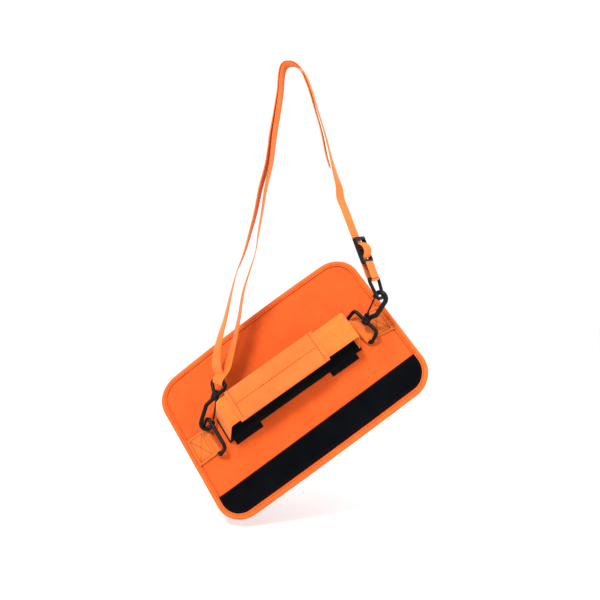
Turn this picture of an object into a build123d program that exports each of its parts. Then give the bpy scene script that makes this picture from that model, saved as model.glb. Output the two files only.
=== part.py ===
from build123d import *
import math
import os

# A padded wrap panel with a grip handle and a clip-on shoulder strap, hanging from the top bend of the strap.
# Millimetres. +Z is up, +X runs along the hanging object's width, +Y goes through the panel from front to back.
# The origin is on the underside of the strap's top bend, where a peg or a hand holds it.

# ---- panel: U runs along the long side, V up the short side, W out of the front face ----
PANEL_CENTRE = Vector(6, 7, -530.5)
PANEL_ROLL = 35.4
PANEL_LEAN = 22.6
PANEL_LENGTH = 410
PANEL_WIDTH = 282
OUTLINE_U = -6
OUTLINE_V = 5.5
PANEL_HALF = 4
CORNER_R = 45
FABRIC_T = 1.0
BINDING_T = 0.8
BINDING_LIP = 9.5
FOAM_INSET = 5
FOLD_GAP = 0.4

# fold lines along V, from the lower long edge to the upper one
FOLD_V = [OUTLINE_V - PANEL_WIDTH / 2, -78, -40, 38, 88, OUTLINE_V + PANEL_WIDTH / 2]
SEGMENTS = ["lower_flap", "lower_side", "centre", "upper_side", "upper_flap"]

STRIP_WIDTH = 45.5
STRIP_T = 1.5
LOOP_STRIP_BOTTOM = -124.3
STRIP_INSET = 10
HOOK_STRIP_WIDTH = 44

# ---- handle ----
WEB_T = 1.6
HANDLE_WEB = 50
HANDLE_V = 9
HANDLE_LOW_LEFT = -138
HANDLE_LOW_RIGHT = 124
HANDLE_TOP_LEFT = -115
HANDLE_TOP_RIGHT = 133
HANDLE_LOW_W = 5.3
HANDLE_TOP_W = 52
HANDLE_BEND_R = 7
HANDLE_FOOT_R = 2.2
GRIP_START = -97
GRIP_END = 75
GRIP_WIDTH = 57
GRIP_T = 10
GRIP_WALL = 1.3
GRIP_EDGE_R = 3
BASE_V = 4
BASE_STRIP_START = -134
BASE_STRIP_END = 121.5
BASE_STRIP_WIDTH = 48
BASE_STRIP_W = 7.0
BASE_STRIP_T = 2.0
PATCH_T = 1.2
PATCH_LENGTH = 66
PATCH_WIDTH = 52
PATCH_U = [-105, 88]

# ---- end tabs and the loops they hold ----
TAB_T = 2.4
LOOP_BAR_R = 3.1
LOOP_SPAN = 59
LOOP_CORNER_R = 4
TAB_BAR_CLEAR = 0.6
TAB_FOLD_R = LOOP_BAR_R + TAB_BAR_CLEAR + WEB_T
FOLD_W = PANEL_HALF + TAB_FOLD_R
LEFT_FOLD = Vector(-163, 2, FOLD_W)
RIGHT_FOLD = Vector(139.5, 7.5, FOLD_W)
RIGHT_FOLD_TURN = 9.8
LEFT_LOOP_RISE = 47
RIGHT_LOOP_RISE = 38
LEFT_LOOP_REACH = 26
RIGHT_LOOP_REACH = 24
LEFT_TAB_EDGE_U = -201.5
RIGHT_TAB_EDGE_U = 189.5
TAB_EDGE_V = 2
TAB_HALF = 24.5

# ---- snap hooks: lengths run along the swivel axis, from the centre of the hook's round end ----
LEFT_EYE = Vector(-137.9, -3, -592.1)
LEFT_STRAP_BAR = Vector(-117.3, 0, -524.5)
STRAP_YAW = 55
LEFT_STRAP_YAW = 137
STRAP_WIDTH = 25
STRAP_T = 1.5
LEFT_HOOK_SIDE = Vector(0.9, 0.3, -0.27)
RIGHT_HOOK_SIDE = Vector(-0.643, 0.407, 0.649)
LEFT_HOOK_BAR_R = 3.4
LEFT_HOOK_EYE_R = 9.8
RIGHT_HOOK_BAR_R = 3.9
RIGHT_HOOK_EYE_R = 9.8
RIGHT_HOOK_LENGTH = 50
BASE_LOOP_HALF = 16.8
BASE_LOOP_DROP = 20
NOSE_ANGLE = 18
SWIVEL_R = 2.2
SWIVEL_CLEAR = 0.35
BOSS_R = 6.6
BOSS_LENGTH = 8
COLLAR_LENGTH = 5
HEAD_R = 3.6
HEAD_T = 1.8
GATE_R = 1.4
GATE_BARREL_R = 2.0
GATE_BARREL_T = 4.6
GATE_PIN_R = 0.9
PIVOT_CLEAR = 0.08
EAR_T = 1.3
EAR_GAP = 0.3

# ---- straight run of the strap, with the slider and the end ring ----
SLIDER_CENTRE = Vector(117.5, -28, -308)
RUN_UP = Vector(-0.340, 0.093, 0.936)
RUN_TOP = 102
SLIDER_LENGTH = 44
SLIDER_WIDTH = 33
SLIDER_T = 6
SLIDER_RAIL = 3.6
SLIDER_BAR = 5
SLIDER_MIDDLE_R = 2
RING_TOP = -49
RING_BAR_R = 2.8
RING_TURN_CLEAR = 0.5
RING_AXIS_N = -0.5
RING_LENGTH = 34
RING_FOOT = 9.5

# ---- strap over the top: (X, Z, yaw of its width) down the middle line of each strand ----
RIGHT_SIDE_SLOPE = 0.074
LEFT_TURN_R = 4.7
OUTER_LEFT = [
    (0, 3.0, 74), (-4, 3.0, 74), (-9.5, 0.5, 74), (-13.5, -5.5, 74), (-15.8, -16, 74), (-18, -42, 74),
    (-24, -78, 75), (-30.5, -113, 76), (-38.7, -165, 78), (-50, -207, 80), (-56.6, -240, 82),
    (-65.2, -273, 85), (-77.3, -314, 90), (-89.2, -344, 96), (-96.7, -372, 101), (-108.2, -422, 109),
    (-117.5, -455, 117), (-122, -480, 127), (-121.5, -502, 135),
]
INNER_LEFT = [
    (0, 0.8, 74), (-3.4, 0.8, 74), (-7.6, -1.4, 74), (-10.9, -7, 74), (-13, -17, 74), (-15, -42, 74),
    (-20, -78, 75), (-25.5, -113, 76), (-32.1, -165, 80), (-41.2, -207, 84), (-46.2, -240, 87),
    (-52, -273, 90), (-58.8, -314, 95), (-68.5, -344, 98), (-77.1, -372, 101), (-85.6, -422, 106),
    (-92.5, -455, 112), (-99.5, -480, 121), (-107, -502, 132),
]
OUTER_RIGHT = [
    (0, 3.0, 74), (4, 3.0, 74), (9, 1.4, 74), (15, -2.6, 74), (22, -11.5, 75), (31, -31, 77), (44, -73, 80),
    (56.8, -115, 80), (66.8, -155, 76), (72, -180, 68), (79, -210.5, 50),
]
INNER_RIGHT = [
    (0, 0.8, 74), (3.4, 0.8, 74), (7.8, -0.8, 74), (13.2, -4.4, 74), (19.6, -12.8, 75), (28, -32, 77),
    (40.6, -74, 80), (52, -115.4, 80), (60.5, -157, 80), (64.5, -171, 80),
]

os.makedirs("parts", exist_ok=True)


def level(yaw):
    """A level direction, turned by yaw from +X."""
    return Vector(math.cos(math.radians(yaw)), math.sin(math.radians(yaw)), 0)


def turned(roll, lean):
    """The panel's three directions in the row's frame."""
    r = math.radians(roll)
    t = math.radians(lean)
    along = Vector(math.cos(r), 0, math.sin(r))
    up = Vector(-math.sin(r) * math.cos(t), math.sin(t), math.cos(r) * math.cos(t))
    return along, up, along.cross(up)


AXIS_U, AXIS_V, AXIS_W = turned(PANEL_ROLL, PANEL_LEAN)
BAG = Plane(origin=PANEL_CENTRE, x_dir=AXIS_U, z_dir=AXIS_W)


def bag_point(p):
    """A panel point (u, v, w) in the row's frame."""
    return PANEL_CENTRE + AXIS_U * p.X + AXIS_V * p.Y + AXIS_W * p.Z


def bag_direction(p):
    return AXIS_U * p.X + AXIS_V * p.Y + AXIS_W * p.Z


def save(shape, name):
    export_step(shape, f"parts/{name}.step")


def slab(inset, low, high):
    """The panel's outline, drawn in by inset, between two heights of W."""
    outline = RectangleRounded(PANEL_LENGTH - 2 * inset, PANEL_WIDTH - 2 * inset, CORNER_R - inset)
    return Pos(OUTLINE_U, OUTLINE_V, low) * extrude(outline, high - low)


def between_folds(index, thick=40):
    """A box that holds one segment of the panel, with half a fold gap at each inner end."""
    low = FOLD_V[index] + (FOLD_GAP / 2 if index > 0 else -5)
    high = FOLD_V[index + 1] - (FOLD_GAP / 2 if index < len(SEGMENTS) - 1 else -5)
    box = Box(PANEL_LENGTH + 20, high - low, thick)
    return Pos(OUTLINE_U, (low + high) / 2, 0) * box


def panel_layers():
    """Each layer of the panel as one sheet, before it is divided at the folds."""
    # the binding stands proud of the cover in front and lies level with the lining behind
    rim = PANEL_HALF + BINDING_T
    binding = slab(0, -PANEL_HALF, rim) - slab(BINDING_LIP, -rim - 1, rim + 1)
    binding -= slab(FABRIC_T, BINDING_T - PANEL_HALF, PANEL_HALF)
    return {
        "cover": slab(FABRIC_T, PANEL_HALF - FABRIC_T, PANEL_HALF),
        "foam": slab(FOAM_INSET, FABRIC_T - PANEL_HALF, PANEL_HALF - FABRIC_T),
        "lining": slab(BINDING_LIP, -PANEL_HALF, FABRIC_T - PANEL_HALF),
        "binding": binding,
    }


def make_panel():
    for layer, sheet in panel_layers().items():
        for index, segment in enumerate(SEGMENTS):
            save(BAG.location * (sheet & between_folds(index)), f"{layer}_{segment}")


def make_closure():
    """Loop strip on the front of the lower flap, hook strip on the back of the upper flap."""
    loop_band = Pos(OUTLINE_U, LOOP_STRIP_BOTTOM + STRIP_WIDTH / 2, 0) * Box(PANEL_LENGTH, STRIP_WIDTH, 40)
    loop = slab(STRIP_INSET, PANEL_HALF, PANEL_HALF + STRIP_T) & loop_band
    save(BAG.location * loop, "loop_strip")
    hook_bottom = FOLD_V[4] + 2
    hook_band = Pos(OUTLINE_U, hook_bottom + HOOK_STRIP_WIDTH / 2, 0) * Box(PANEL_LENGTH, HOOK_STRIP_WIDTH, 40)
    hook = slab(STRIP_INSET, -PANEL_HALF - STRIP_T, -PANEL_HALF) & hook_band
    save(BAG.location * hook, "hook_strip")


def make_handle_base():
    middle_u = (BASE_STRIP_START + BASE_STRIP_END) / 2
    length = BASE_STRIP_END - BASE_STRIP_START
    strip = Pos(middle_u, BASE_V, BASE_STRIP_W + BASE_STRIP_T / 2) * Box(length, BASE_STRIP_WIDTH, BASE_STRIP_T)
    save(BAG.location * strip, "handle_base_strip")
    for name, u in zip(("left", "right"), PATCH_U):
        patch = Pos(u, BASE_V, PANEL_HALF + PATCH_T / 2) * Box(PATCH_WIDTH, PATCH_LENGTH, PATCH_T)
        save(BAG.location * patch, f"cross_patch_{name}")


def handle_outline():
    """The handle loop's outer outline in U and W, with soft bends at the top."""
    low_left = (HANDLE_LOW_LEFT, HANDLE_LOW_W)
    low_right = (HANDLE_LOW_RIGHT, HANDLE_LOW_W)
    top_right = (HANDLE_TOP_RIGHT, HANDLE_TOP_W)
    top_left = (HANDLE_TOP_LEFT, HANDLE_TOP_W)
    radii = [HANDLE_FOOT_R, HANDLE_FOOT_R, HANDLE_BEND_R, HANDLE_BEND_R]
    line = FilletPolyline(low_left, low_right, top_right, top_left, close=True, radius=radii)
    return make_face(line)


def make_handle():
    outer = handle_outline()
    ring = outer - offset(outer, -WEB_T)
    loop = extrude(Plane.XZ * ring, HANDLE_WEB / 2, both=True)
    save(BAG.location * (Pos(0, HANDLE_V, 0) * loop), "handle_webbing")
    length = GRIP_END - GRIP_START
    middle_u = (GRIP_END + GRIP_START) / 2
    middle_w = HANDLE_TOP_W - WEB_T / 2
    place = Pos(middle_u, HANDLE_V, middle_w)
    outside = extrude(Plane.YZ * RectangleRounded(GRIP_WIDTH, GRIP_T, GRIP_EDGE_R), length / 2, both=True)
    inner_width = GRIP_WIDTH - 2 * GRIP_WALL
    inner_t = GRIP_T - 2 * GRIP_WALL
    hollow = extrude(
        Plane.YZ * RectangleRounded(inner_width, inner_t, GRIP_EDGE_R - GRIP_WALL), length / 2, both=True
    )
    save(BAG.location * (place * (outside - hollow)), "grip_cover")
    slot = Box(length + 2, HANDLE_WEB + 0.8, WEB_T + 0.4)
    core = extrude(
        Plane.YZ * RectangleRounded(inner_width - 0.4, inner_t - 0.4, GRIP_EDGE_R - GRIP_WALL),
        length / 2 - 2,
        both=True,
    )
    save(BAG.location * (place * (core - slot)), "grip_foam")


def loop_frame(fold, turn, rise):
    """A plane in panel space at a tab's fold: x along the held bar, y out along the loop."""
    t = math.radians(turn)
    r = math.radians(rise)
    bar = Vector(-math.sin(t), math.cos(t), 0)
    out = Vector(math.cos(t) * math.cos(r), math.sin(t) * math.cos(r), math.sin(r))
    return Plane(origin=fold, x_dir=bar, z_dir=bar.cross(out))


LEFT_LOOP_FRAME = loop_frame(LEFT_FOLD, 0, LEFT_LOOP_RISE)
RIGHT_LOOP_FRAME = loop_frame(RIGHT_FOLD, RIGHT_FOLD_TURN, RIGHT_LOOP_RISE)


def closed_bar(corners, radii, bar_r):
    """A round bar bent into a closed flat loop through the corners of a polygon in XY."""
    line = FilletPolyline(*corners, close=True, radius=radii)
    start = line.position_at(0)
    section = Plane(origin=start, z_dir=line.tangent_at(0)) * Circle(bar_r)
    return sweep(section, path=line)


def make_tab(name, fold, turn, edge_u):
    """Flat doubled webbing from the binding to a tube that holds the loop's bar."""
    t = math.radians(turn)
    bar = Vector(-math.sin(t), math.cos(t), 0)
    near = Vector(fold.X, fold.Y, 0)
    corners = [
        (edge_u, TAB_EDGE_V - TAB_HALF),
        (near.X - bar.X * HANDLE_WEB / 2, near.Y - bar.Y * HANDLE_WEB / 2),
        (near.X + bar.X * HANDLE_WEB / 2, near.Y + bar.Y * HANDLE_WEB / 2),
        (edge_u, TAB_EDGE_V + TAB_HALF),
    ]
    plate = Pos(0, 0, PANEL_HALF + BINDING_T) * extrude(make_face(Polyline(*corners, close=True)), TAB_T)
    tube_plane = Plane(origin=fold, x_dir=Vector(0, 0, 1), z_dir=bar)
    tube = extrude(tube_plane * Circle(TAB_FOLD_R), HANDLE_WEB / 2, both=True)
    hole = extrude(tube_plane * Circle(TAB_FOLD_R - WEB_T), HANDLE_WEB, both=True)
    save(BAG.location * ((plate + tube) - hole), f"tab_{name}")


def make_left_loop():
    half = LOOP_SPAN / 2
    corners = [(-half, 0), (half, 0), (half, LEFT_LOOP_REACH), (-half, LEFT_LOOP_REACH)]
    ring = closed_bar(corners, [LOOP_CORNER_R, LOOP_CORNER_R, 7, 7], LOOP_BAR_R)
    save(BAG.location * (LEFT_LOOP_FRAME.location * ring), "left_loop")


def hook_plane(eye, axis, sideways):
    """x across the hook from its spine to its gate, y up the swivel axis, origin at the round end's centre."""
    across = (sideways - axis * sideways.dot(axis)).normalized()
    return Plane(origin=eye, x_dir=across, z_dir=across.cross(axis))


def bent_bar(path, bar_r):
    section = Plane(origin=path @ 0, z_dir=path % 0) * Circle(bar_r)
    return sweep(section, path=path)


def upright(radius, low, high, x=0):
    """A cylinder along the hook's y axis, from low to high."""
    place = Plane(origin=(x, low, 0), x_dir=(1, 0, 0), z_dir=(0, 1, 0))
    return extrude(place * Circle(radius), high - low)


def hook_body(eye_r, bar_r, collar_low, stem_high):
    """Spine, round end, nose, collar, gate ears and swivel stem with its head, in the hook's own plane."""
    nose_a = math.radians(NOSE_ANGLE)
    spine = FilletPolyline((-1.5, collar_low + 1), (-eye_r, collar_low - 13), (-eye_r, 0), radius=8)
    path = Wire([*spine.edges(), *CenterArc((0, 0), eye_r, 180, 180 + NOSE_ANGLE).edges()])
    body = bent_bar(path, bar_r)
    body += Pos(eye_r * math.cos(nose_a), eye_r * math.sin(nose_a), 0) * Sphere(bar_r * 1.2)
    body += upright(BOSS_R, collar_low, collar_low + COLLAR_LENGTH)
    body += upright(SWIVEL_R, collar_low + COLLAR_LENGTH, stem_high)
    body += upright(HEAD_R, stem_high, stem_high + HEAD_T)
    pivot = gate_pivot(bar_r, collar_low)
    ear_z = GATE_BARREL_T / 2 + EAR_GAP + EAR_T / 2
    for side in (-1, 1):
        ear = Pos(pivot[0], pivot[1] + GATE_BARREL_R, side * ear_z) * Box(3.6, 2 * GATE_BARREL_R + 2.6, EAR_T)
        body += ear
    pin_length = 2 * (GATE_BARREL_T / 2 + EAR_GAP + EAR_T)
    body += Pos(pivot[0], pivot[1], 0) * Cylinder(GATE_PIN_R, pin_length)
    return body


def gate_pivot(bar_r, collar_low):
    return (bar_r + 0.9, collar_low - GATE_BARREL_R - 0.5)


def gate_body(eye_r, bar_r, collar_low):
    """A thin closing bar from its barrel down to the inside of the nose."""
    nose_a = math.radians(NOSE_ANGLE)
    pivot = gate_pivot(bar_r, collar_low)
    tip = (eye_r * math.cos(nose_a) - 0.6, eye_r * math.sin(nose_a) + bar_r * 1.2 + GATE_R + 0.7)
    bar = bent_bar(Line(pivot, tip), GATE_R) + Pos(tip[0], tip[1], 0) * Sphere(GATE_R)
    bar += Pos(pivot[0], pivot[1], 0) * Cylinder(GATE_BARREL_R, GATE_BARREL_T)
    return bar - Pos(pivot[0], pivot[1], 0) * Cylinder(GATE_PIN_R + PIVOT_CLEAR, GATE_BARREL_T + 2)


def swivel_boss(low, high):
    return upright(BOSS_R, low, high)


def swivel_bore(low, high):
    return upright(SWIVEL_R + SWIVEL_CLEAR, low - 5, high + 20)


def make_left_hook():
    axis = (LEFT_STRAP_BAR - LEFT_EYE).normalized()
    length = (LEFT_STRAP_BAR - LEFT_EYE).length
    plane = hook_plane(LEFT_EYE, axis, LEFT_HOOK_SIDE)
    boss_high = length - BASE_LOOP_DROP + BOSS_LENGTH / 2
    boss_low = boss_high - BOSS_LENGTH
    collar_low = boss_low - EAR_GAP - COLLAR_LENGTH
    hook = hook_body(LEFT_HOOK_EYE_R, LEFT_HOOK_BAR_R, collar_low, boss_high + EAR_GAP)
    save(plane.location * hook, "left_hook")
    save(plane.location * gate_body(LEFT_HOOK_EYE_R, LEFT_HOOK_BAR_R, collar_low), "left_gate")
    # the base loop lies in its own plane, with its long bar along the strap's width
    corners = [
        (-BASE_LOOP_HALF, length),
        (BASE_LOOP_HALF, length),
        (BASE_LOOP_HALF, length - 7),
        (5, length - BASE_LOOP_DROP),
        (-5, length - BASE_LOOP_DROP),
        (-BASE_LOOP_HALF, length - 7),
    ]
    base = closed_bar(corners, [3.6, 3.6, 3.6, 3.2, 3.2, 3.6], LOOP_BAR_R) + swivel_boss(boss_low, boss_high)
    save(base_loop_plane().location * (base - swivel_bore(boss_low, boss_high)), "left_hook_base")


def make_right_hook():
    """The wide base loop sits in the right tab; the hook points up to the strap's end ring."""
    half = LOOP_SPAN / 2
    corners = [(-half, 0), (half, 0), (half - 3, RIGHT_LOOP_REACH), (-half + 3, RIGHT_LOOP_REACH)]
    base = closed_bar(corners, [LOOP_CORNER_R, LOOP_CORNER_R, 6, 6], LOOP_BAR_R)
    boss_low = RIGHT_LOOP_REACH - BOSS_LENGTH / 2
    boss_high = boss_low + BOSS_LENGTH
    base += swivel_boss(boss_low, boss_high)
    base -= swivel_bore(boss_low, boss_high)
    save(BAG.location * (RIGHT_LOOP_FRAME.location * base), "right_hook_base")
    out = bag_direction(RIGHT_LOOP_FRAME.y_dir)
    eye = bag_point(RIGHT_FOLD) + out * (RIGHT_LOOP_REACH + RIGHT_HOOK_LENGTH)
    plane = hook_plane(eye, -out, RIGHT_HOOK_SIDE)
    boss_top = RIGHT_HOOK_LENGTH + BOSS_LENGTH / 2
    collar_low = boss_top - BOSS_LENGTH - EAR_GAP - COLLAR_LENGTH
    hook = hook_body(RIGHT_HOOK_EYE_R, RIGHT_HOOK_BAR_R, collar_low, boss_top + EAR_GAP)
    save(plane.location * hook, "right_hook")
    save(plane.location * gate_body(RIGHT_HOOK_EYE_R, RIGHT_HOOK_BAR_R, collar_low), "right_gate")


def run_plane():
    """x across the strap, y up the straight run, z out of its front face."""
    up = RUN_UP.normalized()
    level_across = level(STRAP_YAW)
    across = (level_across - up * level_across.dot(up)).normalized()
    return Plane(origin=SLIDER_CENTRE, x_dir=across, z_dir=across.cross(up))


RUN = run_plane()


def make_ring():
    half = STRAP_WIDTH / 2 + 3.2
    bottom = RING_TOP - RING_LENGTH
    corners = [
        (-half, RING_TOP),
        (half, RING_TOP),
        (half, RING_TOP - 7),
        (RING_FOOT, bottom),
        (-RING_FOOT, bottom),
        (-half, RING_TOP - 7),
    ]
    ring = closed_bar(corners, [3, 3, 3, 4, 4, 3], RING_BAR_R)
    save(RUN.location * (Pos(0, 0, RING_AXIS_N) * ring), "strap_ring")


def across_run(profile):
    """Extrude a profile drawn in the run's (y, z) over the strap's width."""
    return extrude(Plane.YZ * profile, STRAP_WIDTH / 2, both=True)


def make_slider():
    frame = RectangleRounded(SLIDER_WIDTH, SLIDER_LENGTH, 3)
    window = Rectangle(SLIDER_WIDTH - 2 * SLIDER_RAIL, SLIDER_LENGTH - 2 * SLIDER_BAR)
    body = extrude(frame - window, SLIDER_T / 2, both=True)
    body += Rot(0, 90, 0) * Cylinder(SLIDER_MIDDLE_R, SLIDER_WIDTH - SLIDER_RAIL)
    save(RUN.location * body, "slider")
    hump = band([(-13.5, -1.6), (-10, 4.5), (-3, 8.2), (5, 7), (11, 1.5), (13, -1.6)], STRAP_T / 2)
    save(RUN.location * across_run(hump), "slider_hump")


def make_run():
    """The straight run behind the slider, the turn round the ring's top bar and the return strand in front."""
    turn_r = RING_BAR_R + RING_TURN_CLEAR + STRAP_T / 2
    back = RING_AXIS_N - turn_r
    front = RING_AXIS_N + turn_r
    run = Pos((RING_TOP + RUN_TOP) / 2, back) * Rectangle(RUN_TOP - RING_TOP, STRAP_T)
    save(RUN.location * across_run(run), "strap_run")
    return_top = -SLIDER_LENGTH / 2 - 1.5
    strand = Pos((RING_TOP + return_top) / 2, front) * Rectangle(return_top - RING_TOP, STRAP_T)
    save(RUN.location * across_run(strand), "strap_return")
    disc = Circle(turn_r + STRAP_T / 2) - Circle(turn_r - STRAP_T / 2)
    half_disc = disc & (Pos(-20, 0) * Rectangle(40, 40))
    save(RUN.location * across_run(Pos(RING_TOP, RING_AXIS_N) * half_disc), "strap_ring_turn")


def band(points, half):
    """A strip of even width along a polyline, as a face in XY."""
    line = [Vector(x, y) for x, y in points]
    left = []
    right = []
    for i, p in enumerate(line):
        before = (p - line[i - 1]).normalized() if i > 0 else None
        after = (line[i + 1] - p).normalized() if i < len(line) - 1 else None
        way = (before or after) + (after or before)
        way = way.normalized()
        normal = Vector(-way.Y, way.X)
        reach = half / max(way.dot(after or before), 0.5)
        left.append(p + normal * reach)
        right.append(p - normal * reach)
    return make_face(Polyline(*left, *reversed(right), close=True))


def strand(stations):
    """A flat strap through stations (position, width direction), ruled from one to the next."""
    sections = []
    for i, (p, across) in enumerate(stations):
        before = stations[max(i - 1, 0)][0]
        after = stations[min(i + 1, len(stations) - 1)][0]
        way = after - before
        along = (way - across * way.dot(across)).normalized()
        sections.append(Plane(origin=p, x_dir=across, z_dir=along) * Rectangle(STRAP_WIDTH, STRAP_T))
    return loft(sections, ruled=True)


def over_the_top(points, slope):
    """Stations from hand-placed (x, z, yaw), leaning by slope towards -Y as they go down."""
    return [(Vector(x, slope * min(z, 0), z), level(yaw)) for x, z, yaw in points]


def base_loop_plane():
    """The left base loop's plane: x along its long bar, y up the swivel axis, origin at the hook's round end."""
    axis = (LEFT_STRAP_BAR - LEFT_EYE).normalized()
    return hook_plane(LEFT_EYE, axis, level(LEFT_STRAP_YAW))


def make_strap_top():
    across = base_loop_plane().x_dir
    down = (Vector(0, 0, -1) + across * across.Z).normalized()
    side = down.cross(across).normalized()
    for name, points, sign in (("outer", OUTER_LEFT, -1), ("inner", INNER_LEFT, 1)):
        foot = LEFT_STRAP_BAR + side * (sign * LEFT_TURN_R)
        stations = over_the_top(points, 0) + [(foot - down * 6, across), (foot, across)]
        save(strand(stations), f"strap_{name}_left")
    turn_plane = Plane(origin=LEFT_STRAP_BAR, x_dir=across, z_dir=across.cross(down * -1))
    disc = Circle(LEFT_TURN_R + STRAP_T / 2) - Circle(LEFT_TURN_R - STRAP_T / 2)
    half_disc = disc & (Pos(-20, 0) * Rectangle(40, 40))
    save(turn_plane.location * across_run(half_disc), "strap_hook_turn")
    save(strand(over_the_top(OUTER_RIGHT, RIGHT_SIDE_SLOPE)), "strap_outer_right")
    save(strand(over_the_top(INNER_RIGHT, RIGHT_SIDE_SLOPE)), "strap_tail")


make_panel()
make_closure()
make_handle_base()
make_handle()
make_tab("left", LEFT_FOLD, 0, LEFT_TAB_EDGE_U)
make_tab("right", RIGHT_FOLD, RIGHT_FOLD_TURN, RIGHT_TAB_EDGE_U)
make_left_loop()
make_left_hook()
make_right_hook()
make_ring()
make_slider()
make_run()
make_strap_top()
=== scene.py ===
import math

import bmesh
import bpy
import numpy as np
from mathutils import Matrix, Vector


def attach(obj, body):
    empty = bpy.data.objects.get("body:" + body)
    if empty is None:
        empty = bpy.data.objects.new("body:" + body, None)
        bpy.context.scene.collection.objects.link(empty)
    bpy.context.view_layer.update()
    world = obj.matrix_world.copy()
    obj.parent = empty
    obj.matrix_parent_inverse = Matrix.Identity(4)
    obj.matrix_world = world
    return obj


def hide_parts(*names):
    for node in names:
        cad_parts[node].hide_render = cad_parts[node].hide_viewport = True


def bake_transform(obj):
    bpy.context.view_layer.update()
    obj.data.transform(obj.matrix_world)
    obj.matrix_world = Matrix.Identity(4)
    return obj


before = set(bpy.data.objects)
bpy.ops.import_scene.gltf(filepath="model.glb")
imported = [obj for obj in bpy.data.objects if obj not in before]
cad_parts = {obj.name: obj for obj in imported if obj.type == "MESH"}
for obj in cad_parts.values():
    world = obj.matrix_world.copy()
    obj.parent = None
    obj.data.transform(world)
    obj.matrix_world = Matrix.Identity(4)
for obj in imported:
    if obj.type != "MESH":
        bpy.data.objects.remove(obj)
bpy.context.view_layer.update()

# A padded wrap panel with a grip handle and a clip-on shoulder strap. Lengths in this script are in mm.
# The panel's directions: u along its long side, v up its short side, w out of its front.
ROLL, LEAN = math.radians(35.4), math.radians(22.6)
CENTRE = np.array([6.0, 7.0, -530.5])
ALONG = np.array([math.cos(ROLL), 0.0, math.sin(ROLL)])
UP = np.array([-math.sin(ROLL) * math.cos(LEAN), math.sin(LEAN), math.cos(ROLL) * math.cos(LEAN)])
OUT = np.cross(ALONG, UP)

OUTLINE_U, OUTLINE_V, HALF_U, HALF_V, CORNER = -6.0, 5.5, 205.0, 141.0, 45.0
# the four folds along v, and the cuts between them that divide the cloth into pieces with one fold each
CUTS = [-150, -59, 0, 63, 150]


def unit(v):
    v = np.asarray(v, float)
    return v / np.linalg.norm(v)


def bag(points):
    """Panel points (u, v, w) in the row's frame, in mm."""
    points = np.atleast_2d(np.asarray(points, float))
    return CENTRE + points[:, :1] * ALONG + points[:, 1:2] * UP + points[:, 2:3] * OUT


def hung(points):
    """Panel points of the hanging cloth, whose long edges sag and lean a little, in the row's frame."""
    points = np.array(np.atleast_2d(points), float)
    u = np.clip(points[:, 0], -185, 185)
    s = (points[:, 1] - OUTLINE_V) / (2 * HALF_V) + 0.5
    low = -0.5 + 0.0175 * u + 0.00005 * u**2
    high = -1.0 + 0.028 * u - 0.00014 * u**2
    points[:, 1] += (1 - s) * low + s * high
    return bag(points)


def smooth(x):
    x = np.clip(x, 0, 1)
    return x * x * (3 - 2 * x)


# ---- materials ----
def node_tree(name):
    mat = bpy.data.materials.new(name)
    mat.use_nodes = True
    tree = mat.node_tree
    return mat, tree, tree.nodes["Principled BSDF"]


def maths(tree, op, a, b=None, clamp=False):
    node = tree.nodes.new("ShaderNodeMath")
    node.operation = op
    node.use_clamp = clamp
    for socket, value in zip(node.inputs, (a, b)):
        if isinstance(value, bpy.types.NodeSocket):
            tree.links.new(value, socket)
        elif value is not None:
            socket.default_value = value
    return node.outputs[0]


def noise(tree, vector, scale, detail=3.0, rough=0.55):
    node = tree.nodes.new("ShaderNodeTexNoise")
    node.inputs["Scale"].default_value = scale
    node.inputs["Detail"].default_value = detail
    node.inputs["Roughness"].default_value = rough
    tree.links.new(vector, node.inputs["Vector"])
    return node.outputs["Fac"]


def ramp(tree, value, stops):
    node = tree.nodes.new("ShaderNodeValToRGB")
    while len(node.color_ramp.elements) < len(stops):
        node.color_ramp.elements.new(0.5)
    for element, (at, colour) in zip(node.color_ramp.elements, stops):
        element.position = at
        element.color = (*colour, 1)
    tree.links.new(value, node.inputs["Fac"])
    return node.outputs["Color"]


def bump(tree, shader, height, distance, strength=1.0):
    node = tree.nodes.new("ShaderNodeBump")
    node.inputs["Strength"].default_value = strength
    node.inputs["Distance"].default_value = distance
    tree.links.new(height, node.inputs["Height"])
    tree.links.new(node.outputs["Normal"], shader.inputs["Normal"])


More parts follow.
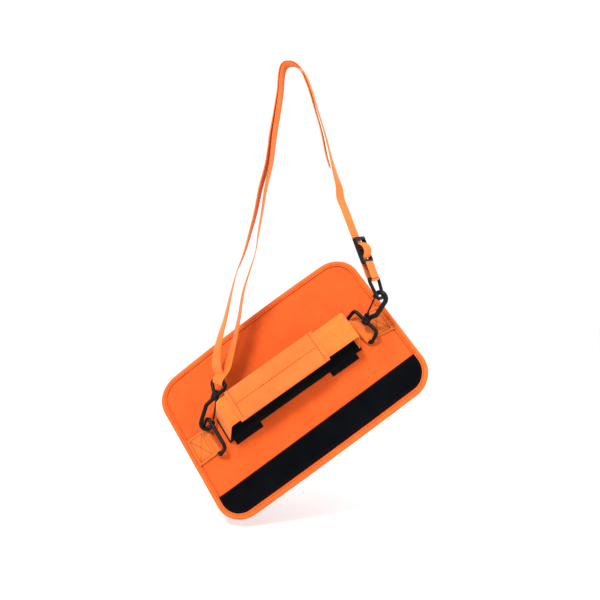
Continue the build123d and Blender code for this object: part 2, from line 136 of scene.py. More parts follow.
def cloth(
    name, dark, mid, light, pitch, rib, rough=0.72, sheen=0.15, tint=(1, 0.5, 0.25),
    depth=0.00012, mottle=0.35, spec=0.12,
):
    """Woven cloth, laid out by the piece's own "cloth" attribute in mm; rib above 0 gives a ribbed web."""
    mat, tree, shader = node_tree(name)
    where = tree.nodes.new("ShaderNodeAttribute")
    where.attribute_name = "cloth"
    split = tree.nodes.new("ShaderNodeSeparateXYZ")
    tree.links.new(where.outputs["Vector"], split.inputs[0])
    k = 2 * math.pi / pitch
    warp = maths(tree, "SINE", maths(tree, "MULTIPLY", split.outputs[0], k))
    weft = maths(tree, "SINE", maths(tree, "MULTIPLY", split.outputs[1], k))
    check = maths(tree, "MULTIPLY", warp, weft)
    if rib:
        slant = maths(tree, "ADD", split.outputs[0], maths(tree, "MULTIPLY", split.outputs[1], 0.5))
        twill = maths(tree, "SINE", maths(tree, "MULTIPLY", slant, k / rib))
        check = maths(tree, "ADD", maths(tree, "MULTIPLY", check, 0.5), maths(tree, "MULTIPLY", twill, 0.6))
    broad = noise(tree, where.outputs["Vector"], 0.022, 4.0)
    fine = noise(tree, where.outputs["Vector"], 0.35, 3.0, 0.7)
    tone = maths(tree, "ADD", maths(tree, "MULTIPLY", check, 0.10), maths(tree, "MULTIPLY", broad, mottle))
    tone = maths(tree, "ADD", tone, maths(tree, "MULTIPLY", fine, 0.28))
    tone = maths(tree, "ADD", tone, 0.5 - mottle / 2 - 0.14)
    colour = ramp(tree, tone, [(0.22, dark), (0.5, mid), (0.8, light)])
    tree.links.new(colour, shader.inputs["Base Color"])
    gloss = maths(tree, "ADD", maths(tree, "MULTIPLY", fine, 0.16), rough - 0.08)
    tree.links.new(gloss, shader.inputs["Roughness"])
    shader.inputs["Sheen Weight"].default_value = sheen
    shader.inputs["Sheen Roughness"].default_value = 0.45
    shader.inputs["Sheen Tint"].default_value = (*tint, 1)
    shader.inputs["Specular IOR Level"].default_value = spec
    height = maths(tree, "ADD", maths(tree, "MULTIPLY", check, 0.5), maths(tree, "MULTIPLY", fine, 0.9))
    bump(tree, shader, height, depth, 0.8)
    return mat


def plastic(name, colour, rough):
    """Moulded black plastic: fine grain, and a paler rub on the edges that noise breaks up."""
    mat, tree, shader = node_tree(name)
    where = tree.nodes.new("ShaderNodeTexCoord")
    grain = noise(tree, where.outputs["Object"], 900.0, 2.0)
    patch = noise(tree, where.outputs["Object"], 55.0, 4.0)
    geometry = tree.nodes.new("ShaderNodeNewGeometry")
    edge = maths(tree, "SUBTRACT", geometry.outputs["Pointiness"], 0.52)
    edge = maths(tree, "MULTIPLY", edge, 5.0, clamp=True)
    tone = maths(tree, "ADD", maths(tree, "MULTIPLY", patch, 0.5), maths(tree, "MULTIPLY", edge, 0.5))
    light = tuple(min(1.0, c * 2.6 + 0.006) for c in colour)
    base = ramp(tree, tone, [(0.15, colour), (0.75, light)])
    tree.links.new(base, shader.inputs["Base Color"])
    gloss = maths(tree, "ADD", maths(tree, "MULTIPLY", patch, 0.22), rough - 0.1)
    tree.links.new(gloss, shader.inputs["Roughness"])
    shader.inputs["Specular IOR Level"].default_value = 0.1
    bump(tree, shader, grain, 0.00004, 0.5)
    return mat


WARM = (1, 0.65, 0.3)
COOL = (0.4, 0.4, 0.45)
PANEL = cloth("panel_cloth", (0.34, 0.036, 0.004), (0.52, 0.066, 0.0065), (0.64, 0.10, 0.015), 0.62, 0)
TAPE = cloth(
    "binding_cloth", (0.36, 0.042, 0.005), (0.58, 0.086, 0.011), (0.74, 0.15, 0.028), 0.9, 2, sheen=0.2
)
LINING = cloth(
    "lining_cloth", (0.22, 0.022, 0.004), (0.34, 0.038, 0.006), (0.44, 0.065, 0.011),
    0.5, 0, rough=0.55,
)
WEB = cloth(
    "webbing_cloth", (0.40, 0.056, 0.006), (0.62, 0.115, 0.013), (0.80, 0.20, 0.035),
    1.3, 2, 0.6, 0.25, WARM,
)
# the end tabs' webbing: the same orange webbing as WEB, darkened all over as painted shade
SHADED_TAB_WEB = cloth(
    "tab_webbing_painted_shade", (0.27, 0.038, 0.004), (0.46, 0.09, 0.010), (0.60, 0.15, 0.024),
    1.3, 2, 0.6, 0.15, WARM,
)
GRIP = cloth(
    "grip_cloth", (0.42, 0.055, 0.008), (0.62, 0.105, 0.016), (0.76, 0.16, 0.032),
    0.62, 0, 0.66, 0.35, (1, 0.7, 0.45),
)
PILE = cloth(
    "pile_cloth", (0.0008, 0.0009, 0.0014), (0.0020, 0.0022, 0.0032), (0.0045, 0.005, 0.007),
    1.1, 0, 0.95, 0.0, (0.3, 0.3, 0.35), 0.0005, 0.5, 0.02,
)
BLACK_WEB = cloth(
    "black_webbing_cloth", (0.001, 0.001, 0.0013), (0.0026, 0.0026, 0.003), (0.008, 0.008, 0.009),
    1.3, 2, 0.7, 0.0, COOL, spec=0.04,
)
# the orange stitching thread of the binding and grip, darkened as painted shade of the stitches sunk into the
# cloth
SHADED_THREAD = cloth("thread", (0.14, 0.010, 0.002), (0.22, 0.018, 0.003), (0.32, 0.04, 0.006), 0.5, 0, 0.6, 0.05)
LIGHT_THREAD = cloth(
    "light_thread", (0.13, 0.012, 0.002), (0.20, 0.022, 0.003), (0.30, 0.045, 0.008), 0.5, 0, 0.6, 0.05
)
BLACK_THREAD = cloth(
    "black_thread", (0.002, 0.002, 0.0025), (0.005, 0.005, 0.006), (0.012, 0.012, 0.014), 0.5, 0, 0.6, 0.02
)
ACETAL = plastic("acetal", (0.002, 0.002, 0.0025), 0.34)


# ---- mesh building ----
def add_piece(name, points, faces, where, material, sharp=50):
    """A mesh object from points in mm in the row's frame, with its cloth layout."""
    mesh = bpy.data.meshes.new(name)
    mesh.from_pydata((np.asarray(points) * 0.001).tolist(), [], [list(map(int, f)) for f in faces])
    layout = mesh.attributes.new("cloth", "FLOAT_VECTOR", "POINT")
    layout.data.foreach_set("vector", np.asarray(where, np.float32).ravel())
    mesh.materials.append(material)
    mesh.validate()
    finish_mesh(mesh, sharp)
    obj = bpy.data.objects.new(name, mesh)
    bpy.context.scene.collection.objects.link(obj)
    return obj


def finish_mesh(mesh, sharp):
    bm = bmesh.new()
    bm.from_mesh(mesh)
    bmesh.ops.remove_doubles(bm, verts=bm.verts, dist=1e-6)
    bmesh.ops.recalc_face_normals(bm, faces=bm.faces)
    bm.to_mesh(mesh)
    bm.free()
    mesh.shade_smooth()
    mesh.set_sharp_from_angle(angle=math.radians(sharp))


def grid_faces(rings, count, closed=True):
    """Quads between successive rings of count points."""
    faces = []
    for r in range(rings - 1):
        for i in range(count if closed else count - 1):
            j = (i + 1) % count
            faces.append((r * count + i, r * count + j, (r + 1) * count + j, (r + 1) * count + i))
    return faces


def outline(inset, counts=(104, 66, 20)):
    """The panel's outline drawn in by inset, with the same points at every inset."""
    a, b = HALF_U - inset, HALF_V - inset
    r = max(min(max(CORNER - inset, 2.0), b), 0.0)
    points = []
    for k, (sx, sy) in enumerate(((1, 1), (-1, 1), (-1, -1), (1, -1))):
        n = counts[1 - k % 2]
        t = 2 * np.arange(n) / n - 1
        if k % 2 == 0:
            side = np.stack([np.full(n, sx * a), sy * (b - r) * t], 1)
        else:
            side = np.stack([sx * (a - r) * t, np.full(n, sy * b)], 1)
        angle = np.radians(90 * k + 90 * np.arange(counts[2]) / counts[2])
        arc = np.stack([sx * (a - r) + r * np.cos(angle), sy * (b - r) + r * np.sin(angle)], 1)
        points += [side, arc]
    return np.vstack(points) + (OUTLINE_U, OUTLINE_V)


def relief(u, v):
    """The soft unevenness of the padded cloth."""
    broad = 0.30 * np.sin(u / 61 + 1.3) * np.sin(v / 37 + 0.4)
    return broad + 0.16 * np.sin(u / 23 + v / 31) + 0.08 * np.sin(u / 13 - v / 17 + 2)


def ring_mesh(profile, height):
    """Rings of the outline at each (inset, w), in panel coordinates."""
    rings = []
    for inset, w in profile:
        ring = outline(inset)
        raised = w + height(ring[:, 0], ring[:, 1], inset, w)
        rings.append(np.column_stack([ring, raised]))
    return rings


def cut_pieces(name, rings, closed_profile, material, where):
    """Divide a ring mesh at the cuts between the folds, close each cut, and return the four pieces."""
    count = len(rings[0])
    points = np.vstack(rings)
    loop = rings + [rings[0]] if closed_profile else rings
    faces = grid_faces(len(loop), count)
    total = len(points)
    faces = [[i % total for i in f] for f in faces]
    made = []
    for part in range(4):
        bm = bmesh.new()
        layer = bm.verts.layers.float_vector.new("cloth")
        verts = []
        for p, c in zip(points, where):
            vert = bm.verts.new(p)
            vert[layer] = c
            verts.append(vert)
        for f in faces:
            corners = [verts[i] for i in f]
            vs = [c.co.y for c in corners]
            if max(vs) > CUTS[part] - 8 and min(vs) < CUTS[part + 1] + 8:
                bm.faces.new(corners)
        bmesh.ops.delete(bm, geom=[v for v in bm.verts if not v.link_faces], context="VERTS")
        bmesh.ops.remove_doubles(bm, verts=bm.verts, dist=1e-3)
        for at, way in ((CUTS[part], -1), (CUTS[part + 1], 1)):
            if at in (CUTS[0], CUTS[-1]):
                continue
            geom = bm.verts[:] + bm.edges[:] + bm.faces[:]
            cut = bmesh.ops.bisect_plane(
                bm, geom=geom, dist=1e-5, plane_co=(0, at, 0), plane_no=(0, way, 0), clear_outer=True
            )
            edges = [e for e in cut["geom_cut"] if isinstance(e, bmesh.types.BMEdge)]
            bmesh.ops.triangle_fill(bm, edges=edges, use_beauty=True)
        bmesh.ops.recalc_face_normals(bm, faces=bm.faces)
        for vert in bm.verts:
            vert.co = hung(vert.co)[0] * 0.001
        mesh = bpy.data.meshes.new(f"{name}_{part + 1}")
        bm.to_mesh(mesh)
        bm.free()
        mesh.materials.append(material)
        mesh.shade_smooth()
        mesh.set_sharp_from_angle(angle=math.radians(55))
        obj = bpy.data.objects.new(mesh.name, mesh)
        bpy.context.scene.collection.objects.link(obj)
        made.append(obj)
    return made


def bend(obj):
    """Bake a piece's placement into its mesh; the piece is not bent over its fold."""
    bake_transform(obj)


# ---- the padded panel ----
def pad_height(u, v, inset, w):
    """The pad's unevenness, flat under the binding, with small pulls along its stitches."""
    pull = 0.35 * np.sin((u - v) / 6.5 + 0.8 * np.sin(u / 19)) * math.exp(-(((inset - 17) / 8) ** 2))
    return (1.5 * relief(u, v) * float(smooth((inset - 10) / 14)) + pull) * (1 if w > 0 else -0.7)


PAD_W, PAD_STEP = 4.3, 3.5
front = [(HALF_V, PAD_W)]
front += [(inset, PAD_W) for inset in np.arange(HALF_V - PAD_STEP, 17, -PAD_STEP)]
front += [(15, 4.2), (13, 3.9), (11.8, 3.3), (10.6, 2.7), (9, 2.7), (5, 2.7), (2.6, 2.4), (1.5, 1.6)]
profile = front + [(1.3, 0)] + [(inset, -w) for inset, w in reversed(front)]
rings = ring_mesh(profile, pad_height)
layout = np.vstack([np.column_stack([r[:, :2], r[:, 2]]) for r in rings])
pads = cut_pieces("panel_pad", rings, False, PANEL, layout)
# the CAD segments that each piece stands for
stands = [["lower_flap"], ["lower_side"], ["centre"], ["upper_side", "upper_flap"]]
for part, pad in enumerate(pads):
    pad.data.materials.append(LINING)
    for face in pad.data.polygons:
        if np.dot(np.array(face.normal), -OUT) > 0.3:
            face.material_index = 1
    bend(pad)
    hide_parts(*[f"{layer}_{s}" for layer in ("cover", "foam", "lining") for s in stands[part]])

# ---- the binding: (inset, w) of its outer face, stitched down in a groove, and of its inner face ----
LIP = [
    (9.6, 3.6), (9.8, 4.5), (9.4, 5.0), (8.6, 5.2), (7.8, 4.8), (7.2, 4.4), (6.6, 4.8), (5.4, 5.35),
    (3.8, 5.35), (2.2, 5.0), (0.9, 4.2), (0.2, 2.6),
]
INNER = [(1.3, 0.0), (1.6, 2.4), (3.0, 3.2), (7.0, 3.4)]
binding_profile = LIP + [(0.0, 0.0)] + [(i, -w) for i, w in reversed(LIP)]
binding_profile += [(i, -w) for i, w in reversed(INNER)] + INNER[1:]


def binding_height(u, v, _inset, w):
    """The slight ripple of the tape's two faces."""
    swing = 0.10 * np.sin((u + 0.7 * v) / 5.3) + 0.08 * np.sin((u - v) / 9.1 + 1)
    return swing * (1 if w > 3.8 else -1 if w < -3.8 else 0)


rings = ring_mesh(binding_profile, binding_height)
steps = np.linalg.norm(np.roll(rings[0][:, :2], -1, 0) - rings[0][:, :2], axis=1)
around = np.concatenate([[0], np.cumsum(steps)[:-1]])
layout = np.vstack(
    [np.column_stack([around, np.full(len(around), 2.2 * k), r[:, 2]]) for k, r in enumerate(rings)]
)
tapes = cut_pieces("edge_binding", rings, True, TAPE, layout)
# each piece's flat tape, in metres
for part, tape in enumerate(tapes):
    bend(tape)
    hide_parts(*[f"binding_{s}" for s in stands[part]])


# ---- stitches ----
def walk(points, normals, step):
    """Points and directions every step along a polyline."""
    points, normals = np.asarray(points, float), np.asarray(normals, float)
    run = np.concatenate([[0], np.cumsum(np.linalg.norm(np.diff(points, axis=0), axis=1))])
    at = np.arange(step / 2, run[-1], step)
    here = np.stack([np.interp(at, run, points[:, k]) for k in range(3)], 1)
    ahead = np.stack([np.interp(at + 0.5, run, points[:, k]) for k in range(3)], 1)
    behind = np.stack([np.interp(at - 0.5, run, points[:, k]) for k in range(3)], 1)
    up = np.stack([np.interp(at, run, normals[:, k]) for k in range(3)], 1)
    way = ahead - behind
    return here, way / np.linalg.norm(way, axis=1)[:, None], up / np.linalg.norm(up, axis=1)[:, None]


# a stitch's rings: place along it, rise and size
STITCH_RINGS = [
    (-0.5, -0.55, 0.45), (-0.38, 0.0, 0.9), (0.0, 0.22, 1.05), (0.38, 0.0, 0.9), (0.5, -0.55, 0.45),
]


def stitch_points(here, way, up, length, thick):
    """One stitch: a short thread that dives into the cloth at both ends."""
    side = np.cross(way, up)
    rings = []
    for at, rise, size in STITCH_RINGS:
        middle = here + way * (at * length) + up * (rise * thick)
        for a in range(6):
            angle = math.pi * a / 3
            rings.append(middle + (side * math.cos(angle) + up * math.sin(angle) * 0.8) * (thick / 2 * size))
    return rings


def stitches(name, lines, material, length=3.0, gap=1.1, thick=0.7, keep=None):
    """Stitches along lines of (points, normals) in mm, in the row's frame, as one piece."""
    points, faces, where = [], [], []
    for line, normals in lines:
        for here, way, up in zip(*walk(line, normals, length + gap)):
            if keep is not None and not keep(here):
                continue
            base = len(points)
            points += stitch_points(here, way, up, length, thick)
            where += [(k * 0.3, 0.2 * k, base) for k in range(30)]
            for f in grid_faces(5, 6):
                faces.append([base + i for i in f])
            faces.append([base + i for i in range(5, -1, -1)])
            faces.append([base + 24 + i for i in range(6)])
    return add_piece(name, points, faces, where, material, 60)


def v_of(point):
    """A point's height along the panel's short side."""
    return float(np.dot(np.asarray(point) - CENTRE, UP))


def edge_line(inset, w):
    """A stitch line all round the panel, drawn in by inset."""
    ring = outline(inset)
    ring = np.vstack([ring, ring[:1]])
    side = 1 if w > 0 else -1
    return hung(np.column_stack([ring, np.full(len(ring), w)])), np.tile(OUT * side, (len(ring), 1))


STITCH_INSET, STITCH_W = 7.2, 4.75
rows = [edge_line(STITCH_INSET, STITCH_W), edge_line(STITCH_INSET, -STITCH_W)]
for part in range(4):
    low, high = CUTS[part], CUTS[part + 1]
    thread = stitches(
        f"binding_stitches_{part + 1}", rows, SHADED_THREAD, 3.4, 1.6, 0.9, lambda p: low <= v_of(p) < high
    )
    bend(thread)


# ---- flat bands ----
def band_section(width, thick, count):
    """The outline of a band's section, (across, through)."""
    half, t = width / 2, thick / 2
    across = np.linspace(-half + 0.5 * thick, half - 0.5 * thick, count)
    top = [(a, t) for a in across]
    right = [(half - 0.12 * thick, 0.55 * t), (half, 0), (half - 0.12 * thick, -0.55 * t)]
    return np.array(top + right + [(-a, -b) for a, b in top] + [(-a, -b) for a, b in right])


def sweep(name, middle, across, width, thick, material, closed=False, count=9):
    """A band along a path. Returns the object and its length in metres."""
    middle, across = np.asarray(middle, float), np.asarray(across, float)
    n = len(middle)
    if closed:
        way = np.roll(middle, -1, 0) - np.roll(middle, 1, 0)
        leg = np.linalg.norm(np.roll(middle, -1, 0) - middle, axis=1)
    else:
        way = np.gradient(middle, axis=0)
        leg = np.linalg.norm(np.diff(middle, axis=0), axis=1)
    run = np.concatenate([[0], np.cumsum(leg)])[:n]
    across = across / np.linalg.norm(across, axis=1)[:, None]
    way = way - across * (way * across).sum(1)[:, None]
    way = way / np.linalg.norm(way, axis=1)[:, None]
    normal = np.cross(across, way)
    section = band_section(width, thick, count)
    points, where = [], []
    for i in range(n):
        points.append(middle[i] + section[:, :1] * across[i] + section[:, 1:2] * normal[i])
        where.append(np.column_stack([np.full(len(section), run[i]), section[:, 0], section[:, 1]]))
    size = len(section)
    faces = grid_faces(n + 1 if closed else n, size)
    faces = [[i % (n * size) for i in f] for f in faces]
    if not closed:
        faces.append(list(range(size - 1, -1, -1)))
        faces.append(list(range((n - 1) * size, n * size)))
    obj = add_piece(name, np.vstack(points), faces, np.vstack(where), material)
    return obj, float(leg.sum()) * 0.001


def curve(rows, step=3.0):
    """Rows of numbers whose first three are a place, joined by a smooth curve and spaced about step apart."""
    p = np.array(rows, float)
    h = np.linalg.norm(np.diff(p[:, :3], axis=0), axis=1)
    d = np.diff(p, axis=0) / h[:, None]
    m = np.empty_like(p)
    m[1:-1] = (d[:-1] * h[1:, None] + d[1:] * h[:-1, None]) / (h[:-1] + h[1:])[:, None]
    m[0], m[-1] = d[0], d[-1]
    out = []
    for i in range(len(h)):
        n = max(2, math.ceil(h[i] / step))
        t = (np.arange(n) / n)[:, None]
        a, b = 2 * t**3 - 3 * t**2 + 1, t**3 - 2 * t**2 + t
        out.append(a * p[i] + b * h[i] * m[i] + (1 - a) * p[i + 1] + (t**3 - t**2) * h[i] * m[i + 1])
    out.append(p[-1:])
    return np.vstack(out)


def corner_path(corners, radii, step=2.5):
    """A closed flat path through corners with rounded bends, as (x, y) rows."""
    corners = np.array(corners, float)
    n, path = len(corners), []
    for i in range(n):
        p = corners[i]
        a, b = unit(corners[i - 1] - p), unit(corners[(i + 1) % n] - p)
        half = math.acos(max(-1, min(1, float(a @ b)))) / 2
        reach = radii[i] / math.tan(half)
        centre = p + unit(a + b) * (radii[i] / math.sin(half))
        first, last = p + a * reach - centre, p + b * reach - centre
        turn_by = math.pi - 2 * half
        for k in range(9):
            t = k / 8
            bent = first * math.sin((1 - t) * turn_by) + last * math.sin(t * turn_by)
            path.append(centre + bent / math.sin(turn_by))
    path = np.array(path)
    out = []
    for i in range(len(path)):
        q, r = path[i], path[(i + 1) % len(path)]
        gap = np.linalg.norm(r - q)
        if gap < 1e-6:
            continue
        cuts = max(1, math.ceil(gap / step))
        out += [q + (r - q) * (k / cuts) for k in range(cuts)]
    return np.array(out)


# ---- closure strips ----
def half_length(vs, inset):
    """Half the panel's length inside inset, at each height of v."""
    r = CORNER - inset
    over = np.clip(np.abs(vs - OUTLINE_V) - (HALF_V - CORNER), 0, r)
    return HALF_U - CORNER + np.sqrt(np.maximum(r * r - over * over, 0))


def strip(name, low, high, base, top, inset, material, ripple):
    """A flat strip whose ends follow the panel's rounded outline, between two heights of w."""
    vs = np.linspace(low, high, 21)
    ends = half_length(vs, inset)
    cols = 90
    rng = np.random.default_rng(7)
    sheets = []
    for level, soft in ((top, ripple), (base, 0)):
        rows = []
        for v, end in zip(vs, ends):
            u = np.linspace(OUTLINE_U - end, OUTLINE_U + end, cols)
            lift = soft * rng.normal(size=cols)
            rows.append(np.column_stack([u, np.full(cols, v), level + lift]))
        sheets.append(np.vstack(rows))
    points = np.vstack(sheets)
    size = cols * len(vs)
    faces = grid_faces(len(vs), cols, closed=False)
    faces += [[i + size for i in reversed(f)] for f in faces]
    rim = list(range(cols)) + [k * cols + cols - 1 for k in range(1, len(vs))]
    rim += [size - 1 - k for k in range(1, cols)] + [k * cols for k in range(len(vs) - 2, 0, -1)]
    for k, i in enumerate(rim):
        j = rim[(k + 1) % len(rim)]
        faces.append((i, i + size, j + size, j))
    return add_piece(name, hung(points), faces, points, material, 40)


STRIP_INSET = 10
loop = strip("loop_strip_pile", -124.3, -78.8, 3.4, 5.6, STRIP_INSET, PILE, 0.10)
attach(loop, "lower_flap")
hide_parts("loop_strip")
hook = strip("hook_strip_pile", 90, 134, -3.4, -5.5, STRIP_INSET, PILE, 0.06)
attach(hook, "upper_flap")
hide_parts("hook_strip")


def strip_line(low, high, inset, w, side):
    """A closed stitch line just inside a strip's edge."""
    vs = np.linspace(low, high, 14)
    ends = half_length(vs, inset)
    right = [(OUTLINE_U + e, v, w) for e, v in zip(ends, vs)]
    left = [(OUTLINE_U - e, v, w) for e, v in zip(ends, vs)][::-1]
    line = np.array(right + left + right[:1])
    return hung(line), np.tile(OUT * side, (len(line), 1))


for name, body, line in (
    ("loop_strip_stitches", "lower_flap", strip_line(-121.8, -81.3, STRIP_INSET + 2.5, 5.6, 1)),
    ("hook_strip_stitches", "upper_flap", strip_line(92.5, 131.5, STRIP_INSET + 2.5, -5.55, -1)),
):
    thread = stitches(name, [line], BLACK_THREAD, 3.0, 1.2, 0.6)
    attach(thread, body)

# ---- handle: base strip, cross patches, webbing loop, grip ----
BASE_V = 4


def flat_band(name, start, end, w, width, thick):
    """Black webbing lying flat on the panel from start to end in u, its ends pressed down."""
    u = np.linspace(start, end, max(8, int((end - start) / 3)))
    wave = 0.12 * np.sin(u / 9.0)
    ends = np.minimum(u - start, end - u)
    drop = 0.5 * thick * (1 - smooth(ends / 2.5))
    middle = bag(np.column_stack([u, np.full(len(u), BASE_V), w + wave - drop]))
    return sweep(name, middle, np.tile(UP, (len(u), 1)), width, thick, BLACK_WEB)[0]


base = flat_band("handle_base_webbing", -139, 126, 7.6, 48, 2.6)
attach(base, "panel")
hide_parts("handle_base_strip")
for side, u in (("left", -105), ("right", 88)):
    patch = flat_band(f"cross_patch_webbing_{side}", u - 26, u + 26, 5.0, 66, 1.9)
    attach(patch, "panel")
    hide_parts(f"cross_patch_{side}")

# the webbing loop leans a little to the panel's upper side
HANDLE_V, HANDLE_LEAN = 9, 4
GRIP_V = HANDLE_V + HANDLE_LEAN
TOP_W = 51.2
handle_corners = [(-138, 6.1), (124, 6.1), (133.5, TOP_W), (-115, TOP_W)]
handle = corner_path(handle_corners, [3, 3, 5, 8])
lean = HANDLE_LEAN - 5.5 * (TOP_W - handle[:, 1]) / 46
# the free right leg has a slight wave
sag = 0.8 * np.sin(handle[:, 0] / 17.0) * smooth((handle[:, 1] - 15) / 20)
handle_rows = np.column_stack([handle[:, 0], HANDLE_V + lean, handle[:, 1]])
handle_rows[:, 0] += np.where(np.abs(handle[:, 0] - 128) < 8, sag, 0)
webbing, length = sweep(
    "handle_loop", bag(handle_rows), np.tile(UP, (len(handle_rows), 1)), 50, 1.5, WEB, closed=True, count=13
)
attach(webbing, "panel")
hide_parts("handle_webbing")

GRIP_START, GRIP_END = -97, 75
GRIP_HALF_WIDTH, GRIP_HALF_T = 28.6, 5.0
GRIP_RINGS, GRIP_COUNT = 75, 72


def grip_section(t):
    """The grip's outline at t along it, 0 to 1: (v, w) from its middle, with a channel down the front."""
    squeeze = 1 - 0.13 * (1 - smooth(min(t, 1 - t) / 0.04)) + 0.035 * math.sin(9 * t + 0.6)
    out = []
    for k in range(GRIP_COUNT):
        a = 2 * math.pi * k / GRIP_COUNT
        c, s = math.cos(a), math.sin(a)
        v = GRIP_HALF_WIDTH * math.copysign(abs(c) ** 0.42, c)
        w = GRIP_HALF_T * squeeze * math.copysign(abs(s) ** 0.55, s)
        if s > 0:
            w += 0.9 * squeeze * (1 - abs(v / GRIP_HALF_WIDTH) ** 2.5)
            w -= 2.6 * math.exp(-(((v - 0.5) / 2.4) ** 2)) * float(smooth(min(t, 1 - t) / 0.05))
            hem = min(abs(t - 0.038), abs(t - 0.962))
            w -= 1.3 * math.exp(-((hem / 0.009) ** 2))
        out.append((v, w))
    return out


grip_points, grip_where = [], []
for i in range(GRIP_RINGS):
    t = i / (GRIP_RINGS - 1)
    u = GRIP_START + (GRIP_END - GRIP_START) * t
    for v, w in grip_section(t):
        wrinkle = 0.18 * math.sin(u / 4.1 + v / 9) * math.sin(u / 11 + 1)
        grip_points.append((u, GRIP_V + v, TOP_W + w + wrinkle * (w > 0)))
        grip_where.append((u, v * 1.1 + (60 if w < 0 else 0), w))
grip_faces = grid_faces(GRIP_RINGS, GRIP_COUNT)
grip_faces.append(list(range(GRIP_COUNT - 1, -1, -1)))
grip_faces.append(list(range((GRIP_RINGS - 1) * GRIP_COUNT, GRIP_RINGS * GRIP_COUNT)))
grip = add_piece("grip_sleeve", bag(grip_points), grip_faces, grip_where, GRIP, 60)
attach(grip, "panel")
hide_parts("grip_cover", "grip_foam")


def grip_line(points, w):
    """A stitch line on the grip's front, at height w from its middle."""
    line = bag([(u, GRIP_V + v, TOP_W + w) for u, v in points])
    return line, np.tile(OUT, (len(line), 1))


ends = [[(u, v) for v in np.linspace(-25, 25, 12)] for u in (GRIP_START + 6.5, GRIP_END - 6.5)]
channel = [(u, 0.5) for u in np.linspace(GRIP_START + 7, GRIP_END - 7, 40)]
grip_thread = stitches(
    "grip_stitches", [grip_line(channel, 3.9)] + [grip_line(e, 5.1) for e in ends], SHADED_THREAD, 3.6, 1.6, 1.0
)
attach(grip_thread, "panel")


# ---- end tabs ----
# the path's radius round the bar, and the heights of its two layers on the panel
TAB_TURN_R = 4.5
TAB_UNDER_W, TAB_OVER_W = 5.7, 7.25


def tab(name, fold, turn_deg, edge_u, sign):
    """Doubled webbing from the binding to a loop round the bar: under layer, round the bar, over layer."""
    t = math.radians(turn_deg)
    bar = np.array([-math.sin(t), math.cos(t), 0.0])
    away = np.array([math.cos(t), math.sin(t), 0.0]) * -sign
    fold = np.array(fold, float)
    level = np.array([0, 1, 0])
    near = fold + (0, 0, -4.4) - away
    edge = np.array([edge_u, 2.0, TAB_UNDER_W])
    rows = []
    for k in range(8):
        s = k / 8
        rows.append(np.concatenate([edge + (near - edge) * s, (1 - s) * level + s * bar]))
    for k in range(13):
        a = math.radians(-90 + 15 * k)
        place = fold + away * (TAB_TURN_R * math.cos(a)) + np.array([0, 0, TAB_TURN_R * math.sin(a)])
        rows.append(np.concatenate([place, bar]))
    rows.append(np.concatenate([fold - away * 2.6 + (0, 0, 2.4), bar]))
    top_near = fold - away * 6
    top_near[2] = 7.6
    top_edge = np.array([edge_u, 2.0, TAB_OVER_W])
    for k in range(9):
        s = k / 8
        rows.append(np.concatenate([top_near + (top_edge - top_near) * s, s * level + (1 - s) * bar]))
    rows = curve(rows, 2.0)
    across = rows[:, 3:] @ np.stack([ALONG, UP, OUT])
    obj, length = sweep(name, bag(rows[:, :3]), across, 49, 1.4, SHADED_TAB_WEB, count=13)
    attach(obj, "panel")
    return obj


left_tab = tab("left_tab_webbing", (-163, 2, 9.3), 0, -201, -1)
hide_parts("tab_left")
right_tab = tab("right_tab_webbing", (139.5, 7.5, 9.3), 9.8, 189, 1)
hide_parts("tab_right")


def box_cross(corners, w):
    """A stitched box with a cross in it, on a tab."""
    a, b, c, d = [(*p, w) for p in corners]
    lines = [(a, b), (b, c), (c, d), (d, a), (a, c), (b, d)]
    made = []
    for p, q in lines:
        line = bag([np.array(p) + (np.array(q) - np.array(p)) * s for s in (0, 0.5, 1)])
        made.append((line, np.tile(OUT, (3, 1))))
    return made


left_box = box_cross([(-197, -18), (-173, -18), (-173, 22), (-197, 22)], 8.15)
right_box = box_cross([(185, -18), (160, -15), (163, 27), (185, 23)], 8.2)
tab_thread = stitches("tab_stitches", left_box + right_box, LIGHT_THREAD, 2.8, 1.0, 1.0)
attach(tab_thread, "panel")

# ---- strap: (x, z, yaw of its width) down the middle line of each strand, over the hanging point ----
SLOPE = 0.074
OUTER_LEFT = [
    (0, 3.0, 74), (-4, 3.0, 74), (-9.5, 0.5, 74), (-13.5, -5.5, 74), (-15.8, -16, 74), (-18, -42, 74),
    (-24, -78, 75), (-30.5, -113, 76), (-38.7, -165, 78), (-50, -207, 80), (-56.6, -240, 82),
    (-65.2, -273, 85), (-77.3, -314, 90), (-89.2, -344, 96), (-96.7, -372, 101), (-108.2, -422, 109),
    (-117.5, -455, 117), (-122, -480, 127), (-121.5, -502, 135),
]
INNER_LEFT = [
    (0, 0.8, 74), (-3.4, 0.8, 74), (-7.6, -1.4, 74), (-10.9, -7, 74), (-13, -17, 74), (-15, -42, 74),
    (-20, -78, 75), (-25.5, -113, 76), (-32.1, -165, 80), (-41.2, -207, 84), (-46.2, -240, 87),
    (-52, -273, 90), (-58.8, -314, 95), (-68.5, -344, 98), (-77.1, -372, 101), (-85.6, -422, 106),
    (-92.5, -455, 112), (-99.5, -480, 121), (-107, -502, 132),
]
OUTER_RIGHT = [
    (4, 3.0, 74), (9, 1.4, 74), (15, -2.6, 74), (22, -11.5, 75), (31, -31, 77), (44, -73, 80),
    (56.8, -115, 80), (66.8, -155, 78), (73.0, -180, 70), (80.5, -208, 59),
]
INNER_RIGHT = [
    (3.4, 0.8, 74), (7.8, -0.8, 74), (13.2, -4.4, 74), (19.6, -12.8, 75), (28, -32, 77), (40.6, -74, 80),
    (52, -115.4, 80), (60.5, -157, 80), (64.5, -171, 80),
]


def strand(rows, slope):
    """Rows of place and width direction, leaning by slope towards the front as they go down."""
    out = []
    for x, z, yaw in rows:
        a = math.radians(yaw)
        out.append((x, slope * min(z, 0), z, math.cos(a), math.sin(a), 0))
    return out


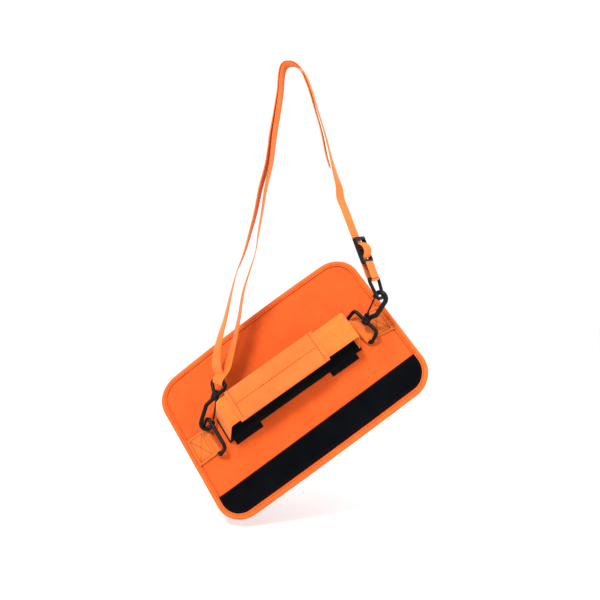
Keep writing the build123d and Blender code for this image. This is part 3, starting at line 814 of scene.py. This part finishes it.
# the left hook's round end and the bar that the strap turns round
EYE, BAR = np.array([-137.9, -3, -592.1]), np.array([-117.3, 0, -524.5])
BAR_TURN_R = 4.7
hook_axis = unit(BAR - EYE)
bar_way = np.array([math.cos(math.radians(137)), math.sin(math.radians(137)), 0])
bar_way = unit(bar_way - hook_axis * (bar_way @ hook_axis))
down = unit(np.array([0, 0, -1]) + bar_way * bar_way[2])
out_side = unit(np.cross(down, bar_way))
bar_turn = []
for degrees in range(-180, 1, 20):
    a = math.radians(degrees)
    place = BAR + out_side * (BAR_TURN_R * math.cos(a)) - down * (BAR_TURN_R * math.sin(a))
    bar_turn.append((*place, *bar_way))

# the straight run behind the slider
run_up = unit((-0.340, 0.093, 0.936))
run_across = np.array([math.cos(math.radians(55)), math.sin(math.radians(55)), 0])
run_across = unit(run_across - run_up * (run_across @ run_up))
run_out = np.cross(run_across, run_up)
SLIDER = np.array([117.5, -28.0, -308.0])
RING_Y, RING_Z, RING_TURN_R = -49, -0.5, 4.05
FRONT_Z = RING_Z + RING_TURN_R
BACK_Z = RING_Z - RING_TURN_R


def run(y, z):
    """A place y up the straight run and z out of its front, with the strap's width direction."""
    return (*(SLIDER + run_up * y + run_out * z), *run_across)


tail = strand(INNER_RIGHT, SLOPE)[::-1] + strand(INNER_LEFT, 0)
outer = strand(OUTER_LEFT, 0)[::-1] + strand(OUTER_RIGHT, SLOPE)
lower = [run(y, BACK_Z) for y in (96, 70, 40, 10, -20, RING_Y)]
ring_turn = []
for degrees in (-75, -60, -40, -20, 0, 20, 40, 60, 75):
    a = math.radians(degrees)
    ring_turn.append(run(RING_Y - RING_TURN_R * math.cos(a), RING_Z + RING_TURN_R * math.sin(a)))
path = curve(tail + bar_turn + outer + lower + ring_turn, 4.0)
strap, length = sweep("strap_webbing_run", path[:, :3], path[:, 3:], 25, 1.4, WEB, count=7)
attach(strap, "panel")
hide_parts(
    "strap_tail", "strap_inner_left", "strap_hook_turn", "strap_outer_left", "strap_outer_right",
    "strap_run", "strap_ring_turn",
)

path = curve([run(y, FRONT_Z) for y in (RING_Y, -44, -38, -32, -26, -21)], 2.5)
back_up, length = sweep("strap_return_webbing", path[:, :3], path[:, 3:], 24.6, 1.4, WEB, count=7)
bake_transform(back_up)
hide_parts("strap_return")
hump_rows = [(-13.5, 0.2), (-10, 4.3), (-3, 8.2), (5, 7.2), (11, 1.5), (13, -1.6)]
path = curve([run(y, z) for y, z in hump_rows], 1.5)
hump, length = sweep("slider_webbing", path[:, :3], path[:, 3:], 24.6, 1.4, WEB, count=7)
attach(hump, "slider")
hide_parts("slider_hump")

# ---- moulded plastic hardware: the CAD's own shapes ----
for name in (
    "left_loop", "left_hook", "left_gate", "left_hook_base", "right_hook_base", "right_hook", "right_gate",
    "strap_ring", "slider",
):
    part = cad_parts[name]
    for place in part.material_slots:
        place.material = ACETAL

# ---- floor, light, camera, in metres ----
bpy.ops.mesh.primitive_plane_add(size=14, location=(0, 2, -0.7535))
floor = bpy.context.object
floor.name = "floor"
pale, tree, shader = node_tree("pale_floor")
shader.inputs["Base Color"].default_value = (0.93, 0.93, 0.93, 1)
shader.inputs["Roughness"].default_value = 0.9
shader.inputs["Specular IOR Level"].default_value = 0.0
floor.data.materials.append(pale)


def area_light(name, place, target, size, power):
    """A round soft light at place, turned to target, in metres and watts."""
    data = bpy.data.lights.new(name, "AREA")
    data.shape, data.size, data.energy = "DISK", size, power
    obj = bpy.data.objects.new(name, data)
    obj.location = place
    way = np.array(target, float) - np.array(place, float)
    obj.rotation_euler = Vector(way).to_track_quat("-Z", "Y").to_euler()
    bpy.context.scene.collection.objects.link(obj)


area_light("key", (-0.6, -1.3, 1.0), (0, 0, -0.45), 0.6, 54)
area_light("side", (1.7, -0.7, 0.2), (0.05, 0, -0.35), 0.6, 20)

world = bpy.data.worlds.new("studio")
world.use_nodes = True
world.node_tree.nodes["Background"].inputs["Color"].default_value = (1, 1, 1, 1)
world.node_tree.nodes["Background"].inputs["Strength"].default_value = 1.06
bpy.context.scene.world = world
bpy.context.scene.view_settings.view_transform = "Standard"

cam = bpy.data.cameras.new("camera")
cam.lens = 42
cam.sensor_width = 36
camera = bpy.data.objects.new("camera", cam)
camera.location = (0.0159, -1.1582, -0.3888)
camera.rotation_euler = (math.radians(90), 0, 0)
bpy.context.scene.collection.objects.link(camera)
bpy.context.scene.camera = camera
